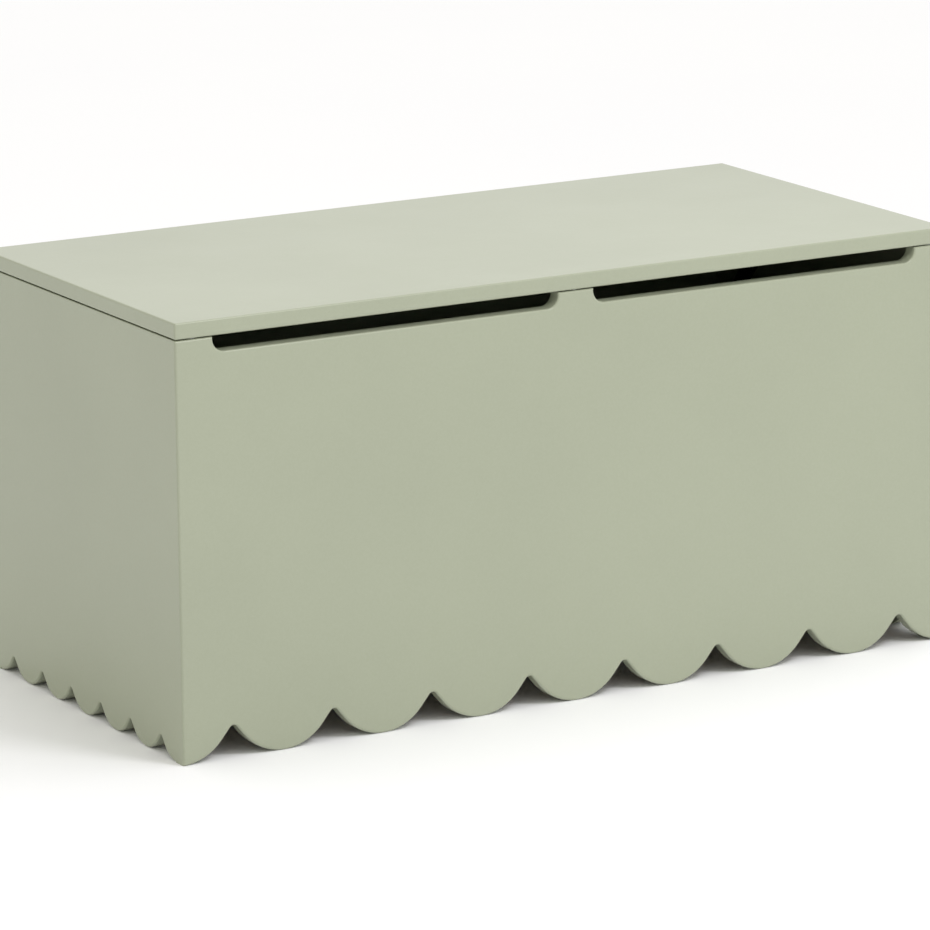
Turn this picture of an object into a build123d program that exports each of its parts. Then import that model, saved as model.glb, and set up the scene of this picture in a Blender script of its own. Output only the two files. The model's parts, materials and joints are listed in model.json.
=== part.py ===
from build123d import *
import math
import os
from dataclasses import dataclass

# A painted wooden toy box: four panels with a scalloped lower edge, two finger slots in the top
# edge of the front panel, a flush lid on three butt hinges, and a gas strut on each side.
# Frame: X to the right, Y to the back, Z up, in millimetres. The origin is on the floor, in the
# middle of the box's footprint, hinge knuckles included. The lid is shut.

# ---------------------------------------------------------------- driving sizes: the case
WIDTH = 830.0               # outside, left to right
DEPTH = 400.0               # outside, front face to back face
BODY_HEIGHT = 392.0         # floor to the top edge of the panels
BOARD = 15.0                # thickness of the front, back and side panels
LID_BOARD = 15.0            # thickness of the lid
BOTTOM_BOARD = 12.0         # thickness of the bottom board
LID_GAP = 1.0               # shadow gap under the lid, kept open by the bumper pads
OUTER_ROUND = 2.2           # rounding of the edges of an outer face
INNER_ROUND = 0.8           # rounding of the inner edges that a hand can reach
LID_ROUND = 1.8             # rounding of the lid's edges

# ---------------------------------------------------------------- scalloped lower edge
FRONT_SCALLOPS = 8          # whole scallops in the width, half of one at each end
SIDE_SCALLOPS = 6           # whole scallops in a side panel, half of one at each end
FLANK_ANGLE = 51.0          # slope of the straight flank where the scallop's arc ends
FRONT_CUSP_ROUND = 4.4      # radius at the top of a notch, front and back
SIDE_CUSP_ROUND = 2.4       # radius at the top of a notch, sides
FOOT_FLAT = 0.1             # height taken off the lowest point of each scallop

# ---------------------------------------------------------------- finger slots
SLOT_MARGIN = 38.0          # board left at each end of the front panel
SLOT_BRIDGE = 38.0          # board left between the two slots
SLOT_DEPTH = 14.0           # below the panel's top edge
SLOT_ROUND = 12.0           # radius of the two lower corners, at most

# ---------------------------------------------------------------- bottom board and its battens
BATTEN = 20.0               # square section of the battens
BATTEN_BASE = 38.0          # floor to the underside of the battens
BATTEN_END_GAP = 1.0        # between the ends of two battens
BOTTOM_GAP = 0.5            # all round the bottom board
BOTTOM_CORNER = 1.0         # rounding of the bottom board's upper edge

# ---------------------------------------------------------------- corner fittings
DOWEL_RADIUS = 4.0
DOWEL_IN_FACE = 9.5         # length of the dowel in the front or back panel
DOWEL_IN_END = 20.5         # length of the dowel in the end of the side panel
CAM_RADIUS = 7.5
CAM_DEPTH = 12.5            # from the inner face of the side panel
CAM_SETBACK = 34.0          # end of the side panel to the centre of the cam
CAM_SLOT_GAP = 0.3          # round the bolt's head, inside the cam
CAM_SLOT_PAST = 1.0         # the cam's slot runs this far past its centre
BOLT_RADIUS = 3.4
BOLT_NECK_RADIUS = 2.0
BOLT_NECK_LENGTH = 4.0
BOLT_HEAD_LENGTH = 3.0
BOLT_THREAD_RADIUS = 2.5
BOLT_IN_FACE = 10.5         # length of the thread in the front or back panel
CAM_FROM_FLOOR = 84.0       # lower cam of each corner
CAM_FROM_TOP = 52.0         # upper cam, below the panel's top edge
FIT_GAP = 0.1               # radial gap round dowels, bolts and cams

# ---------------------------------------------------------------- hinges
HINGE_COUNT = 3
HINGE_END_INSET = 110.0     # end of the box to the middle of the outer hinges
HINGE_LENGTH = 63.0
LEAF_WIDTH = 16.0           # pin axis to the free edge of a leaf
LEAF_THICKNESS = 1.8
KNUCKLE_RADIUS = 3.3
KNUCKLE_COUNT = 5           # odd ones on the fixed leaf, even ones on the lid leaf
KNUCKLE_END_GAP = 0.2       # between neighbouring knuckles
KNUCKLE_CLEARANCE = 0.3     # knuckle to the panel's back face
PIN_RADIUS = 1.8
PIN_CLEARANCE = 0.05        # radial, in the knuckles
PIN_HEAD_RADIUS = 2.7
PIN_HEAD_LENGTH = 1.0
MORTISE_GAP = 0.2           # round a leaf in its mortise
HINGE_SCREW_PITCH = 22.0

# ---------------------------------------------------------------- gas struts
LID_OPENING = 80.0          # degrees, set by the struts' stroke
STRUT_SWING = 150.0         # hinge axis to both ball centres of a strut
STRUT_FOOT_INSET = 12.0     # back panel's inner face to the lower ball
LID_BALL_DROP = 14.0        # lid's underside to the upper ball
BALL_RADIUS = 5.0
BALL_CLEARANCE = 0.08
STUD_RADIUS = 3.0
STUD_REACH = 10.0           # bracket's face to the centre of the ball
STUD_FLANGE_RADIUS = 5.0
STUD_FLANGE_LENGTH = 1.5
SOCKET_RADIUS = 7.0
SOCKET_CLOSED_SIDE = 6.5    # ball centre to the closed side of the socket
SOCKET_OPEN_SIDE = 4.6      # ball centre to the socket's mouth
SOCKET_MOUTH_RADIUS = 4.3
SOCKET_NECK_RADIUS = 5.0
SOCKET_LENGTH = 16.0        # ball centre to the end of the neck
SOCKET_BORE_DEPTH = 9.0
TUBE_RADIUS = 7.5
TUBE_BORE_RADIUS = 6.3
TUBE_BASE = 4.0
TUBE_END_ROUND = 1.0
ROD_RADIUS = 3.0
ROD_END_GAP = 4.0           # tube's end to the upper socket with the lid shut
GLAND_LENGTH = 8.0
PISTON_LENGTH = 8.0
STOP_GAP = 0.5              # piston to gland with the lid fully open
RUNNING_GAP = 0.06          # radial, rod in gland and parts fixed in one another
PISTON_GAP = 0.1            # radial, piston in tube

# ---------------------------------------------------------------- strut brackets
PLATE = 2.0                 # thickness of the bracket plates
SIDE_PLATE_WIDTH = 22.0
SIDE_PLATE_HEIGHT = 56.0
SIDE_PLATE_ROUND = 6.0
SIDE_SCREW_PITCH = 38.0
LID_PLATE_LENGTH = 44.0     # along Y
LID_PLATE_WIDTH = 32.0      # along X, tab included
LID_PLATE_ROUND = 5.0
LID_TAB_BELOW_BALL = 9.0
LID_SCREW_PITCH = 28.0

# ---------------------------------------------------------------- bumper pads
BUMPER_RADIUS = 4.5
BUMPER_BACK_INSET = 60.0    # back face to the pads over the side panels


@dataclass
class Screw:
    head_radius: float
    shank_radius: float
    length: float


HINGE_SCREW = Screw(3.2, 1.6, 11.0)
BRACKET_SCREW = Screw(3.4, 1.75, 12.0)
BATTEN_SCREW = Screw(3.8, 2.0, 31.0)
BOTTOM_SCREW = Screw(3.8, 2.0, 26.0)
SCREW_GAP = 0.05            # round a screw in its hole
TIP_LENGTH = 2.5            # pointed end of a screw
RECESS_WIDTH = 0.9          # arm of the cross recess
RECESS_SHARE = 0.62         # reach of the recess, as a share of the head's radius
RECESS_DEPTH = 1.0
SCREW_END_INSET = 60.0      # end of a batten to its first screw
LONG_BATTEN_SCREWS = 5
SHORT_BATTEN_SCREWS = 3
BOTTOM_SCREWS_LONG = 4
BOTTOM_SCREWS_SHORT = 2
OVERCUT = 5.0               # how far a cutter runs past the face it opens

# ---------------------------------------------------------------- worked out from the above
AXIS_OUT = KNUCKLE_RADIUS + KNUCKLE_CLEARANCE
BACK_FACE = (DEPTH - AXIS_OUT - KNUCKLE_RADIUS) / 2
FRONT_FACE = BACK_FACE - DEPTH
AXIS_Y = BACK_FACE + AXIS_OUT
AXIS_Z = BODY_HEIGHT + LID_GAP / 2
LID_UNDERSIDE = BODY_HEIGHT + LID_GAP
SIDE_LENGTH = DEPTH - 2 * BOARD
INNER_WIDTH = WIDTH - 2 * BOARD
MIDDLE_Y = (FRONT_FACE + BACK_FACE) / 2
BOTTOM_UNDERSIDE = BATTEN_BASE + BATTEN
BOTTOM_TOP = BOTTOM_UNDERSIDE + BOTTOM_BOARD
HINGE_XS = [
    (WIDTH - 2 * HINGE_END_INSET) * (i / (HINGE_COUNT - 1) - 0.5)
    for i in range(HINGE_COUNT)
]
SIDES = {"left": -1, "right": 1}
STRUT_X = INNER_WIDTH / 2 - PLATE - STUD_REACH
FOOT_Y = BACK_FACE - BOARD - STRUT_FOOT_INSET
FOOT_Z = AXIS_Z - math.sqrt(STRUT_SWING**2 - (AXIS_Y - FOOT_Y) ** 2)
HEAD_Z = LID_UNDERSIDE - LID_BALL_DROP
HEAD_Y = AXIS_Y - math.sqrt(STRUT_SWING**2 - (AXIS_Z - HEAD_Z) ** 2)
SHUT_LENGTH = math.hypot(HEAD_Y - FOOT_Y, HEAD_Z - FOOT_Z)
SHUT_ANGLE = 2 * math.asin(SHUT_LENGTH / (2 * STRUT_SWING))
OPEN_ANGLE = SHUT_ANGLE + math.radians(LID_OPENING)
OPEN_LENGTH = 2 * STRUT_SWING * math.sin(OPEN_ANGLE / 2)
TUBE_END = SHUT_LENGTH - SOCKET_LENGTH - ROD_END_GAP
ROD_REACH = OPEN_LENGTH + PISTON_LENGTH + GLAND_LENGTH + STOP_GAP - TUBE_END
STRUT_LEAN = math.degrees(math.atan2(FOOT_Y - HEAD_Y, HEAD_Z - FOOT_Z))


# ---------------------------------------------------------------- helpers
def block(x0, x1, y0, y1, z0, z1):
    """A box between two corners."""
    return Pos((x0 + x1) / 2, (y0 + y1) / 2, (z0 + z1) / 2) * Box(x1 - x0, y1 - y0, z1 - z0)


def rod(radius, z0, z1):
    """A round bar on the Z axis."""
    return Pos(0, 0, (z0 + z1) / 2) * Cylinder(radius, z1 - z0)


def pointing(point, direction, piece):
    """A piece made pointing down from the origin, set at a point and turned to a direction."""
    away = (-direction[0], -direction[1], -direction[2])
    return Plane(origin=point, z_dir=away).location * piece


def spread(length, count):
    """Evenly spaced places over a length, centred on zero."""
    return [length * (i / (count - 1) - 0.5) for i in range(count)]


def screw(kind):
    """A countersunk wood screw: head flush at the origin, pointing down, cross recess."""
    head = kind.head_radius - kind.shank_radius
    body = Pos(0, 0, -head / 2) * Cone(kind.shank_radius, kind.head_radius, head)
    body += rod(kind.shank_radius, TIP_LENGTH - kind.length, -head)
    tip = Cone(kind.shank_radius / 8, kind.shank_radius, TIP_LENGTH)
    body += Pos(0, 0, TIP_LENGTH / 2 - kind.length) * tip
    return body - cross_recess(kind.head_radius)


def cross_recess(radius):
    """Cutters for the cross recess in a round head at z = 0."""
    reach = 2 * RECESS_SHARE * radius
    return [Box(reach, RECESS_WIDTH, 2 * RECESS_DEPTH), Box(RECESS_WIDTH, reach, 2 * RECESS_DEPTH)]


def screw_hole(kind):
    """The room a screw needs in what it holds, head side open."""
    head = kind.head_radius - kind.shank_radius
    top = kind.head_radius + SCREW_GAP
    neck = kind.shank_radius + SCREW_GAP
    room = Pos(0, 0, -head / 2) * Cone(neck, top, head)
    room += rod(top, 0, OVERCUT)
    room += rod(neck, -kind.length - SCREW_GAP, -head)
    return room


def drill(board, kind, places):
    """A board with the holes for screws at (point, direction) places."""
    hole = screw_hole(kind)
    return board - [pointing(point, direction, hole) for point, direction in places]


def screws(kind, places):
    """Separate screws at (point, direction) places."""
    piece = screw(kind)
    return [pointing(point, direction, piece) for point, direction in places]


# ---------------------------------------------------------------- scalloped boards
def notch(pitch, cusp_round):
    """The gap between two scallops, its cusp at x = 0, as a face in the XZ plane."""
    slope = math.radians(FLANK_ANGLE)
    radius = pitch / 2
    centre_z = radius - FOOT_FLAT
    foot_x = pitch / 2 - math.sqrt(radius**2 - centre_z**2)
    bend_x = pitch / 2 - radius * math.sin(slope)
    bend_z = centre_z - radius * math.cos(slope)
    apex_z = bend_z + bend_x * math.tan(slope)
    round_z = apex_z - cusp_round / math.cos(slope)
    touch_x = cusp_round * math.sin(slope)
    touch_z = round_z + cusp_round * math.cos(slope)
    half = math.radians(FLANK_ANGLE / 2)
    middle_x = pitch / 2 - radius * math.sin(half)
    middle_z = centre_z - radius * math.cos(half)
    outline = [
        ThreePointArc((-foot_x, 0), (-middle_x, middle_z), (-bend_x, bend_z)),
        Line((-bend_x, bend_z), (-touch_x, touch_z)),
        ThreePointArc((-touch_x, touch_z), (0, round_z + cusp_round), (touch_x, touch_z)),
        Line((touch_x, touch_z), (bend_x, bend_z)),
        ThreePointArc((bend_x, bend_z), (middle_x, middle_z), (foot_x, 0)),
        Polyline((foot_x, 0), (foot_x, -OVERCUT), (-foot_x, -OVERCUT), (-foot_x, 0)),
    ]
    return Plane.XZ * make_face(outline)


def scalloped_board(length, scallops, cusp_round):
    """An upright board: outer face at y = 0, inner face at y = BOARD, centred on x = 0."""
    pitch = length / scallops
    board = block(-length / 2, length / 2, 0, BOARD, 0, BODY_HEIGHT)
    cutter = extrude(notch(pitch, cusp_round), BOARD + OVERCUT, both=True)
    return board - [Pos((i + 0.5) * pitch - length / 2, 0, 0) * cutter for i in range(scallops)]


def slot_cutter():
    """One finger slot, open at the top, its middle at x = 0."""
    length = (WIDTH - 2 * SLOT_MARGIN - SLOT_BRIDGE) / 2
    cutter = block(-length / 2, length / 2, -OVERCUT, BOARD + OVERCUT, 0, SLOT_DEPTH + OVERCUT)
    corners = cutter.edges().filter_by(Axis.Y).group_by(Axis.Z)[0]
    radius = min(SLOT_ROUND, SLOT_DEPTH - OUTER_ROUND)
    return Pos(0, 0, BODY_HEIGHT - SLOT_DEPTH) * fillet(corners, radius)


def rounded_outline(board):
    """Round the outer face's whole outline, and the inner face's outside the side joints."""
    outer = board.faces().sort_by(Axis.Y)[0]
    board = fillet(outer.edges(), OUTER_ROUND)
    inner = board.faces().sort_by(Axis.Y)[-1]
    reachable = [e for e in inner.edges() if not on_side_or_floor(e, board)]
    return fillet(reachable, INNER_ROUND)


def rounded_between_corners(board):
    """Round the scallops and the top edges; the upright edges stay sharp, for a flush joint."""
    outer = board.faces().sort_by(Axis.Y)[0]
    scallops = [e for e in outer.edges() if e.bounding_box().max.Z < BODY_HEIGHT / 2]
    board = fillet(scallops, OUTER_ROUND)
    top = board.faces().sort_by(Axis.Z)[-1]
    return fillet(top.edges().filter_by(Axis.X), INNER_ROUND)


def on_side_or_floor(edge, board):
    """True for the two upright edges of a face and for the flats that it stands on."""
    box = edge.bounding_box()
    limits = board.bounding_box()
    upright = abs(abs(box.center().X) - limits.max.X) < FOOT_FLAT and box.size.X < FOOT_FLAT
    return upright or box.max.Z < BODY_HEIGHT / 2


# ---------------------------------------------------------------- places of the fittings
def corner_heights():
    """Heights of the cams and of the dowels in each corner."""
    low = CAM_FROM_FLOOR
    high = BODY_HEIGHT - CAM_FROM_TOP
    third = (high - low) / 3
    return [low, high], [low + third, high - third]


def corner_places(heights):
    """(x, y of the joint plane, direction into the side panel, z) for every corner fitting."""
    x = WIDTH / 2 - BOARD / 2
    ends = [(FRONT_FACE + BOARD, 1), (BACK_FACE - BOARD, -1)]
    return [(side * x, y, into, z) for side in (-1, 1) for y, into in ends for z in heights]


def along_y(piece, x, y, into, z):
    """A piece made on the Z axis, laid along Y with its +Z pointing into the side panel."""
    return Pos(x, y, z) * Rot(-90 * into, 0, 0) * piece


def dowel(gap=0.0):
    return rod(DOWEL_RADIUS + gap, -DOWEL_IN_FACE - gap, DOWEL_IN_END + gap)


def cam_bolt(gap=0.0):
    """Thread in the front or back panel, shank, neck and head, which ends at the cam's centre."""
    neck = CAM_SETBACK - BOLT_HEAD_LENGTH - BOLT_NECK_LENGTH
    if gap:
        body = rod(BOLT_THREAD_RADIUS + gap, -BOLT_IN_FACE - gap, 0)
        return body + rod(BOLT_RADIUS + gap, 0, CAM_SETBACK)
    body = rod(BOLT_THREAD_RADIUS, -BOLT_IN_FACE, 0) + rod(BOLT_RADIUS, 0, neck)
    body += rod(BOLT_NECK_RADIUS, neck, neck + BOLT_NECK_LENGTH)
    return body + rod(BOLT_RADIUS, neck + BOLT_NECK_LENGTH, CAM_SETBACK)


def cam(gap=0.0):
    """A cam on the Z axis, its driven face at z = 0 and the rest below."""
    body = rod(CAM_RADIUS + gap, -CAM_DEPTH - gap, 0)
    if gap:
        return body + rod(CAM_RADIUS + gap, 0, OVERCUT)
    slot = rod(BOLT_RADIUS + CAM_SLOT_GAP, -CAM_SLOT_PAST, CAM_RADIUS + OVERCUT)
    slot = Pos(0, 0, -BOARD / 2) * Rot(-90, 0, 0) * slot
    return body - [slot, *cross_recess(BOLT_RADIUS)]


def cam_location(x, y, into, z):
    """The cam's driven face on the inner face of the side panel, its slot towards the joint."""
    side = math.copysign(1, x)
    inner = Plane(
        origin=(side * INNER_WIDTH / 2, y + into * CAM_SETBACK, z),
        x_dir=(0, 0, -side * into),
        z_dir=(-side, 0, 0),
    )
    return inner.location


def screw_rows():
    """Places of the batten screws and of the bottom board's screws."""
    battens, bottom = [], []
    z = BATTEN_BASE + BATTEN / 2
    for y, out in ((FRONT_FACE + BOARD, -1), (BACK_FACE - BOARD, 1)):
        for x in spread(INNER_WIDTH - 2 * SCREW_END_INSET, LONG_BATTEN_SCREWS):
            battens.append(((x, y - out * BATTEN, z), (0, out, 0)))
        for x in spread(INNER_WIDTH - 3 * SCREW_END_INSET, BOTTOM_SCREWS_LONG):
            bottom.append(((x, y - out * BATTEN / 2, BOTTOM_TOP), (0, 0, -1)))
    for out in (-1, 1):
        x = out * INNER_WIDTH / 2
        for y in spread(SIDE_LENGTH - 2 * SCREW_END_INSET, SHORT_BATTEN_SCREWS):
            battens.append(((x - out * BATTEN, MIDDLE_Y + y, z), (out, 0, 0)))
        for y in spread(SIDE_LENGTH - 4 * SCREW_END_INSET, BOTTOM_SCREWS_SHORT):
            bottom.append(((x - out * BATTEN / 2, MIDDLE_Y + y, BOTTOM_TOP), (0, 0, -1)))
    return battens, bottom


def hinge_screw_places(up):
    """Screws of the fixed leaves (down) or of the lid leaves (up)."""
    z = AXIS_Z + up * LID_GAP / 2
    y = AXIS_Y - (AXIS_OUT + LEAF_WIDTH) / 2
    span = (-HINGE_SCREW_PITCH, 0, HINGE_SCREW_PITCH)
    return [((x + dx, y, z), (0, 0, up)) for x in HINGE_XS for dx in span]


def side_bracket_screw_places(side):
    x = side * (INNER_WIDTH / 2 - PLATE)
    offsets = (-SIDE_SCREW_PITCH / 2, SIDE_SCREW_PITCH / 2)
    return [((x, FOOT_Y, FOOT_Z + dz), (side, 0, 0)) for dz in offsets]


def lid_bracket_screw_places(side):
    x = side * (STRUT_X - STUD_REACH - LID_PLATE_WIDTH / 2)
    offsets = (-LID_SCREW_PITCH / 2, LID_SCREW_PITCH / 2)
    return [((x, HEAD_Y + dy, LID_UNDERSIDE - PLATE), (0, 0, 1)) for dy in offsets]


BATTEN_SCREWS, BOTTOM_SCREWS = screw_rows()
CAM_PLACES = corner_places(corner_heights()[0])
DOWEL_PLACES = corner_places(corner_heights()[1])


def fitted(board):
    """A panel with the bores for its dowels, bolts and cams and the holes for batten screws."""
    room = [along_y(dowel(FIT_GAP), *place) for place in DOWEL_PLACES]
    room += [along_y(cam_bolt(FIT_GAP), *place) for place in CAM_PLACES]
    room += [cam_location(*place) * cam(FIT_GAP) for place in CAM_PLACES]
    return drill(board - room, BATTEN_SCREW, BATTEN_SCREWS)


# ---------------------------------------------------------------- the case
def front_panel():
    board = scalloped_board(WIDTH, FRONT_SCALLOPS, FRONT_CUSP_ROUND)
    middle = (WIDTH / 2 - SLOT_MARGIN + SLOT_BRIDGE / 2) / 2
    for x in (-middle, middle):
        board -= Pos(x, 0, 0) * slot_cutter()
    return fitted(Pos(0, FRONT_FACE, 0) * rounded_outline(board))


def back_panel():
    board = rounded_outline(scalloped_board(WIDTH, FRONT_SCALLOPS, FRONT_CUSP_ROUND))
    board = fitted(Pos(0, BACK_FACE, 0) * Rot(0, 0, 180) * board)
    for x in HINGE_XS:
        board -= Pos(x, AXIS_Y, AXIS_Z) * mortise(-1)
    return drill(board, HINGE_SCREW, hinge_screw_places(-1))


def side_panel(side):
    board = rounded_between_corners(scalloped_board(SIDE_LENGTH, SIDE_SCALLOPS, SIDE_CUSP_ROUND))
    board = Pos(side * WIDTH / 2, MIDDLE_Y, 0) * Rot(0, 0, 90 * side) * board
    return drill(fitted(board), BRACKET_SCREW, side_bracket_screw_places(side))


def bottom_panel():
    x = INNER_WIDTH / 2 - BOTTOM_GAP
    y = SIDE_LENGTH / 2 - BOTTOM_GAP
    board = block(-x, x, MIDDLE_Y - y, MIDDLE_Y + y, BOTTOM_UNDERSIDE, BOTTOM_TOP)
    board = fillet(board.edges().group_by(Axis.Z)[-1], BOTTOM_CORNER)
    return drill(board, BOTTOM_SCREW, BOTTOM_SCREWS)


def batten(x0, x1, y0, y1):
    piece = block(x0, x1, y0, y1, BATTEN_BASE, BOTTOM_UNDERSIDE)
    return drill(drill(piece, BATTEN_SCREW, BATTEN_SCREWS), BOTTOM_SCREW, BOTTOM_SCREWS)


def long_batten(out):
    """Along the front (out = -1) or the back (out = 1) panel."""
    wall = MIDDLE_Y + out * SIDE_LENGTH / 2
    x = INNER_WIDTH / 2 - BATTEN_END_GAP
    return batten(-x, x, *sorted((wall, wall - out * BATTEN)))


def short_batten(out):
    """Along the left (out = -1) or the right (out = 1) side panel."""
    wall = out * INNER_WIDTH / 2
    y = SIDE_LENGTH / 2 - BATTEN - BATTEN_END_GAP
    return batten(*sorted((wall, wall - out * BATTEN)), MIDDLE_Y - y, MIDDLE_Y + y)


# ---------------------------------------------------------------- hinges
def mortise(up):
    """Room for a leaf in the panel below (up = -1) or the lid above (up = 1), axis at zero."""
    x = HINGE_LENGTH / 2 + MORTISE_GAP
    z = sorted((up * (LID_GAP / 2 + LEAF_THICKNESS), up * LID_GAP / 4))
    return block(-x, x, -LEAF_WIDTH - MORTISE_GAP, OVERCUT, *z)


def hinge_leaf(up):
    """The fixed leaf (up = -1) or the lid leaf (up = 1), the pin's axis at zero."""
    z = sorted((up * (LID_GAP / 2 + LEAF_THICKNESS), up * LID_GAP / 2))
    leaf = block(-HINGE_LENGTH / 2, HINGE_LENGTH / 2, -LEAF_WIDTH, -AXIS_OUT, *z)
    pitch = HINGE_LENGTH / KNUCKLE_COUNT
    half = (pitch - KNUCKLE_END_GAP) / 2
    for i in range(1 if up > 0 else 0, KNUCKLE_COUNT, 2):
        x = (i + 0.5) * pitch - HINGE_LENGTH / 2
        leaf += Pos(x, 0, 0) * Rot(0, 90, 0) * Cylinder(KNUCKLE_RADIUS, 2 * half)
        leaf += block(x - half, x + half, -AXIS_OUT, 0, *z)
    return leaf - Rot(0, 90, 0) * Cylinder(PIN_RADIUS + PIN_CLEARANCE, 2 * HINGE_LENGTH)


def placed_leaf(x, up):
    leaf = Pos(x, AXIS_Y, AXIS_Z) * hinge_leaf(up)
    return drill(leaf, HINGE_SCREW, hinge_screw_places(up))


def hinge_pin(x):
    half = HINGE_LENGTH / 2 + KNUCKLE_END_GAP
    pin = rod(PIN_RADIUS, -half, half)
    for end in (-half - PIN_HEAD_LENGTH, half):
        pin += rod(PIN_HEAD_RADIUS, end, end + PIN_HEAD_LENGTH)
    return Pos(x, AXIS_Y, AXIS_Z) * Rot(0, 90, 0) * pin


# ---------------------------------------------------------------- lid
def lid():
    board = block(-WIDTH / 2, WIDTH / 2, FRONT_FACE, BACK_FACE, LID_UNDERSIDE, LID_UNDERSIDE + LID_BOARD)
    board = fillet(board.edges(), LID_ROUND)
    for x in HINGE_XS:
        board -= Pos(x, AXIS_Y, AXIS_Z) * mortise(1)
    board = drill(board, HINGE_SCREW, hinge_screw_places(1))
    for side in SIDES.values():
        board = drill(board, BRACKET_SCREW, lid_bracket_screw_places(side))
    return board


def bumper_places():
    """Over the front panel's ends and bridge, and over the side panels near the back."""
    front_y = FRONT_FACE + BOARD / 2
    end_x = WIDTH / 2 - SLOT_MARGIN / 2
    places = [(x, front_y) for x in (-end_x, 0, end_x)]
    side_x = WIDTH / 2 - BOARD / 2
    return places + [(x, BACK_FACE - BUMPER_BACK_INSET) for x in (-side_x, side_x)]


def lid_bumpers():
    pad = rod(BUMPER_RADIUS, BODY_HEIGHT, LID_UNDERSIDE)
    return [Pos(x, y, 0) * pad for x, y in bumper_places()]


# ---------------------------------------------------------------- gas struts, made for the right side
def ball_stud(out):
    """A ball at the origin on a neck that runs to the bracket at +X (out = 1) or -X."""
    reach = STUD_REACH + PLATE
    stud = Sphere(BALL_RADIUS) + rod(STUD_RADIUS, 0, reach)
    stud += rod(STUD_FLANGE_RADIUS, STUD_REACH - STUD_FLANGE_LENGTH, STUD_REACH)
    return Rot(0, 90 * out, 0) * stud


def socket(out):
    """A ball socket at the origin: mouth towards +X (out = 1) or -X, neck along +Z."""
    hub = Rot(0, 90 * out, 0) * rod(SOCKET_RADIUS, -SOCKET_CLOSED_SIDE, SOCKET_OPEN_SIDE)
    hub += rod(SOCKET_NECK_RADIUS, 0, SOCKET_LENGTH)
    hub -= Sphere(BALL_RADIUS + BALL_CLEARANCE)
    hub -= Rot(0, 90 * out, 0) * rod(SOCKET_MOUTH_RADIUS, 0, SOCKET_RADIUS)
    return hub - rod(ROD_RADIUS + RUNNING_GAP, SOCKET_LENGTH - SOCKET_BORE_DEPTH, SOCKET_LENGTH)


def tube():
    """The strut's pressure tube, with the stub that its socket is fixed on."""
    body = rod(TUBE_RADIUS, SOCKET_LENGTH, TUBE_END)
    body = fillet(body.edges().filter_by(GeomType.CIRCLE), TUBE_END_ROUND)
    body -= rod(TUBE_BORE_RADIUS, SOCKET_LENGTH + TUBE_BASE, TUBE_END + OVERCUT)
    return body + rod(ROD_RADIUS, SOCKET_LENGTH - SOCKET_BORE_DEPTH, SOCKET_LENGTH)


def gland():
    ring = rod(TUBE_BORE_RADIUS - RUNNING_GAP, TUBE_END - GLAND_LENGTH, TUBE_END)
    return ring - rod(ROD_RADIUS + RUNNING_GAP, 0, TUBE_END + OVERCUT)


def piston():
    ring = rod(TUBE_BORE_RADIUS - PISTON_GAP, ROD_REACH - PISTON_LENGTH, ROD_REACH)
    return ring - rod(ROD_RADIUS + RUNNING_GAP, 0, ROD_REACH + OVERCUT)


def piston_rod():
    return rod(ROD_RADIUS, SOCKET_LENGTH - SOCKET_BORE_DEPTH, ROD_REACH)


def side_bracket():
    """The plate on the side panel, lower ball at the origin."""
    half_y = SIDE_PLATE_WIDTH / 2
    half_z = SIDE_PLATE_HEIGHT / 2
    plate = block(STUD_REACH, STUD_REACH + PLATE, -half_y, half_y, -half_z, half_z)
    plate = fillet(plate.edges().filter_by(Axis.X), SIDE_PLATE_ROUND)
    return plate - Rot(0, 90, 0) * rod(STUD_RADIUS + RUNNING_GAP, 0, STUD_REACH + PLATE + OVERCUT)


def lid_bracket():
    """The angle under the lid, upper ball at the origin."""
    outer = -STUD_REACH
    y = LID_PLATE_LENGTH / 2
    flat = block(outer - LID_PLATE_WIDTH, outer, -y, y, LID_BALL_DROP - PLATE, LID_BALL_DROP)
    flat = fillet(flat.edges().filter_by(Axis.Z).group_by(Axis.X)[0], LID_PLATE_ROUND)
    tab_y = SIDE_PLATE_WIDTH / 2
    tab = block(outer - PLATE, outer, -tab_y, tab_y, -LID_TAB_BELOW_BALL, LID_BALL_DROP - PLATE)
    tab = fillet(tab.edges().filter_by(Axis.X).group_by(Axis.Z)[0], SIDE_PLATE_ROUND)
    hole = Rot(0, -90, 0) * rod(STUD_RADIUS + RUNNING_GAP, 0, STUD_REACH + PLATE + OVERCUT)
    return flat + tab - hole


def at_foot(piece):
    """Set a strut piece at the lower ball, its +Z towards the upper ball."""
    return Pos(STRUT_X, FOOT_Y, FOOT_Z) * Rot(STRUT_LEAN, 0, 0) * piece


def at_head(piece):
    """Set a strut piece at the upper ball, its +Z towards the lower ball."""
    return Pos(STRUT_X, HEAD_Y, HEAD_Z) * Rot(180 + STRUT_LEAN, 0, 0) * piece


def strut_pieces(name, side):
    """Every piece of one strut with its brackets, mirrored for the left side."""
    bracket = Pos(STRUT_X, FOOT_Y, FOOT_Z) * side_bracket()
    angle = Pos(STRUT_X, HEAD_Y, HEAD_Z) * lid_bracket()
    pieces = {
        "strut_side_bracket": drill(bracket, BRACKET_SCREW, side_bracket_screw_places(1)),
        "strut_side_ball_stud": Pos(STRUT_X, FOOT_Y, FOOT_Z) * ball_stud(1),
        "strut_foot_socket": at_foot(socket(1)),
        "strut_tube": at_foot(tube()),
        "strut_gland": at_foot(gland()),
        "strut_rod": at_head(piston_rod()),
        "strut_piston": at_head(piston()),
        "strut_head_socket": at_head(socket(-1)),
        "strut_lid_ball_stud": Pos(STRUT_X, HEAD_Y, HEAD_Z) * ball_stud(-1),
        "strut_lid_bracket": drill(angle, BRACKET_SCREW, lid_bracket_screw_places(1)),
    }
    if side < 0:
        pieces = {key: mirror(piece, Plane.YZ) for key, piece in pieces.items()}
    return {f"{key}_{name}": piece for key, piece in pieces.items()}


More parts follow.
